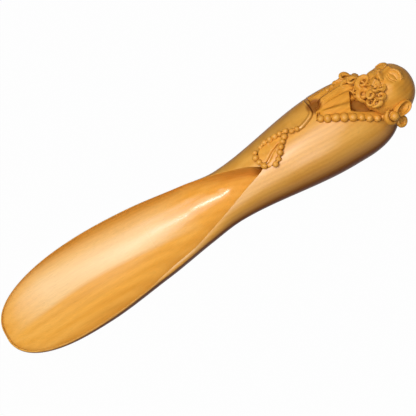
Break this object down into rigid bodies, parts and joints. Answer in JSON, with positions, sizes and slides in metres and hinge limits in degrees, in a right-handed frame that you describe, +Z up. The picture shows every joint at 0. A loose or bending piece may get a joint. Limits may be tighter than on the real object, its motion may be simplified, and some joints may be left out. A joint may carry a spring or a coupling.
{
  "type": "carved tea scoop",
  "caption": "Long open wooden scoop for tea leaves, its round handle carved as a bearded robed figure with strings of beads.",
  "frame": {"origin": "under the middle of the length, on the plane that the scoop rests on", "axes": "+X from the tip of the bowl to the crown of the head, +Z up out of the bowl, -Y to the figure's left"},
  "size_m": [0.1689, 0.0338, 0.0301],
  "materials": {
    "honey_wood": "satin polish",
    "deep_wood": "satin polish, darker in the cuts",
    "pale_wood": "rubbed satin polish"
  },
  "bodies": {
    "root": {"scoop_body": "honey_wood", "head": "honey_wood", "left_ear": "honey_wood", "right_ear": "honey_wood", "left_sleeve": "honey_wood", "right_sleeve": "honey_wood", "robe_hem": "honey_wood", "beard_lock_01": "honey_wood", "beard_lock_02": "honey_wood", "beard_lock_03": "honey_wood", "beard_lock_04": "honey_wood", "beard_lock_05": "honey_wood", "beard_lock_06": "honey_wood", "beard_lock_07": "honey_wood", "beard_lock_08": "honey_wood", "beard_lock_09": "honey_wood", "beard_lock_10": "honey_wood", "beard_lock_11": "honey_wood", "beard_lock_12": "honey_wood", "beard_lock_13": "honey_wood", "beard_base": "deep_wood", "left_moustache": "deep_wood", "right_moustache": "deep_wood", "left_earring_ball": "pale_wood", "left_earring_ring": "pale_wood", "left_bead_string": "pale_wood", "right_bead_string": "pale_wood", "bead_loop": "pale_wood"}
  },
  "joints": []
}
